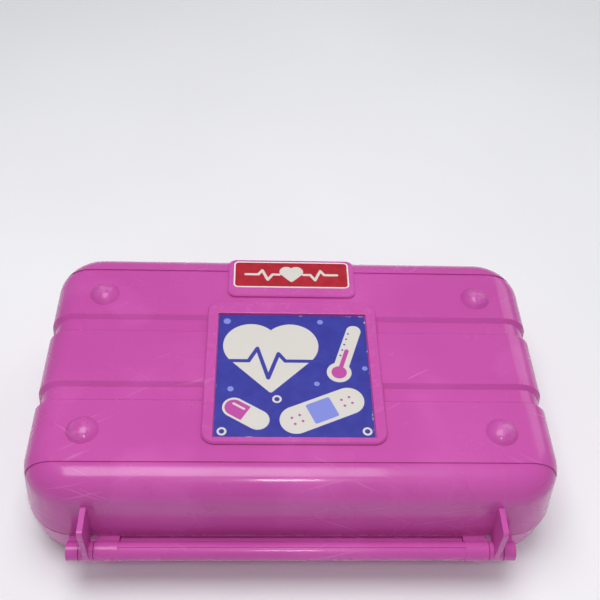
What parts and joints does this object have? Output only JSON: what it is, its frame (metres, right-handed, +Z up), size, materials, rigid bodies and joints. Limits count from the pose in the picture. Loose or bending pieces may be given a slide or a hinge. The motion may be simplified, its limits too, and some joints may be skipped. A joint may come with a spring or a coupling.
{
  "type": "toy doctor case",
  "caption": "Moulded two-shell toy doctor's case with side hinge, swinging carry handle, slide latch, raised picture frame and wrap-round channels.",
  "frame": {"origin": "centre of the base's flat underside, at the middle of the case body", "axes": "+Z up from the underside to the lid panel, -Y towards the hinge side, +Y towards the handle and latch, +X to the right seen from the hinge side"},
  "size_m": [0.3, 0.238, 0.0805],
  "materials": {
    "case_plastic": "glossy moulded polypropylene",
    "handle_plastic": "glossy moulded polypropylene",
    "pin_plastic": "moulded plastic pin",
    "picture_print": "printed vinyl label, satin",
    "badge_print": "printed vinyl label, satin"
  },
  "bodies": {
    "case_base": {"base_shell": "case_plastic", "hinge_pin_left": "pin_plastic", "hinge_pin_right": "pin_plastic", "handle_pin_left": "pin_plastic", "handle_pin_right": "pin_plastic", "latch_stud_left": "pin_plastic", "latch_stud_right": "pin_plastic"},
    "lid": {"lid_shell": "case_plastic", "picture_label": "picture_print", "badge_label": "badge_print"},
    "handle": {"carry_handle": "handle_plastic"},
    "latch": {"latch_slider": "handle_plastic"}
  },
  "joints": [
    {"name": "lid_hinge", "type": "hinge", "parent": "case_base", "child": "lid", "pos_m": [0, -0.0994, 0.032], "axis": [1, 0, 0], "range_deg": [0, 155]},
    {"name": "handle_swing", "type": "hinge", "parent": "case_base", "child": "handle", "pos_m": [0, 0.1032, 0.026], "axis": [1, 0, 0], "range_deg": [0, 138]},
    {"name": "latch_slide", "type": "slide", "parent": "case_base", "child": "latch", "axis": [-1, 0, 0], "range_m": [0, 0.008]}
  ]
}
